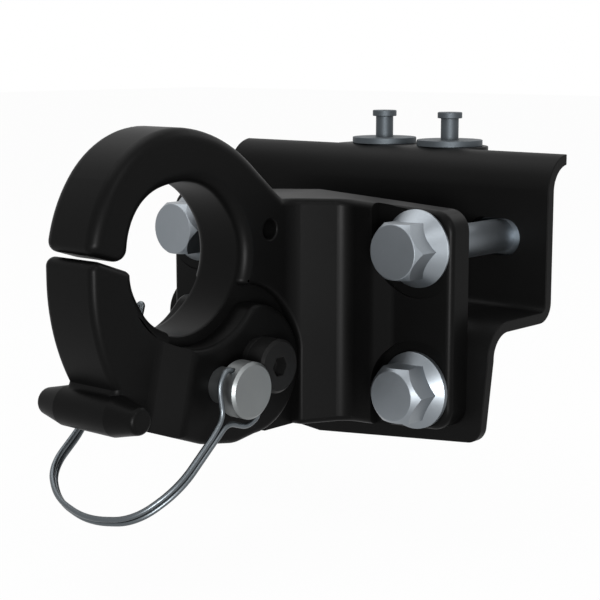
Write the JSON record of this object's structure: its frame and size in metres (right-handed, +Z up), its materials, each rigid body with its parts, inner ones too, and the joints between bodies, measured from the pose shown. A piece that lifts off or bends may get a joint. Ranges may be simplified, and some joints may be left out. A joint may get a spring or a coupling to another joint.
{
  "type": "j-hook hitch adapter",
  "caption": "Bolt-on forged J-hook coupling with a hinged lower jaw, lock pin and wire keeper on a crossmember bracket, for towing a ring-eye trailer.",
  "frame": {"origin": "middle of the four-bolt pattern on the rear face of the hook's flange plate", "axes": "-Y out to the trailer, +Y into the vehicle's crossmember, +X to the right seen from the trailer, +Z up"},
  "size_m": [0.2022, 0.2546, 0.164],
  "materials": {
    "forged_body": "satin black powder coat",
    "forged_jaw": "satin black powder coat",
    "bracket_paint": "satin black powder coat",
    "zinc_bolts": "dull grey zinc plate",
    "zinc_studs": "dull grey zinc plate",
    "bush_bronze": "plain turned",
    "black_pivot": "black oxide",
    "pin_steel": "dull grey",
    "wire_steel": "drawn wire"
  },
  "bodies": {
    "hook": {"backing_bracket": "bracket_paint", "hook_body": "forged_body", "lower_bolt_left": "zinc_bolts", "lower_bolt_right": "zinc_bolts", "lower_nut_left": "zinc_bolts", "lower_nut_right": "zinc_bolts", "pivot_bush": "bush_bronze", "stud_left": "zinc_studs", "stud_nut_left": "zinc_studs", "stud_nut_right": "zinc_studs", "stud_right": "zinc_studs", "stud_washer_left": "zinc_studs", "stud_washer_right": "zinc_studs", "upper_bolt_left": "zinc_bolts", "upper_bolt_right": "zinc_bolts", "upper_nut_left": "zinc_bolts", "upper_nut_right": "zinc_bolts"},
    "jaw": {"lower_jaw": "forged_jaw", "pivot_screw": "black_pivot", "pivot_washer_near": "black_pivot", "pivot_washer_far": "black_pivot", "pivot_nut": "black_pivot"},
    "pin": {"lock_pin": "pin_steel"},
    "wire": {"pin_wire": "wire_steel"}
  },
  "joints": [
    {"name": "jaw_hinge", "type": "hinge", "parent": "hook", "child": "jaw", "pos_m": [0, -0.0694, -0.0172], "axis": [1, 0, 0], "range_deg": [0, 45]},
    {"name": "lock_pin_slide", "type": "slide", "parent": "jaw", "child": "pin", "axis": [1, 0, 0], "range_m": [-0.0085, 0.005]},
    {"name": "wire_swing", "type": "hinge", "parent": "pin", "child": "wire", "pos_m": [0.0375, -0.0934, -0.0232], "axis": [0, -0.6428, 0.766], "range_deg": [0, 8]}
  ]
}
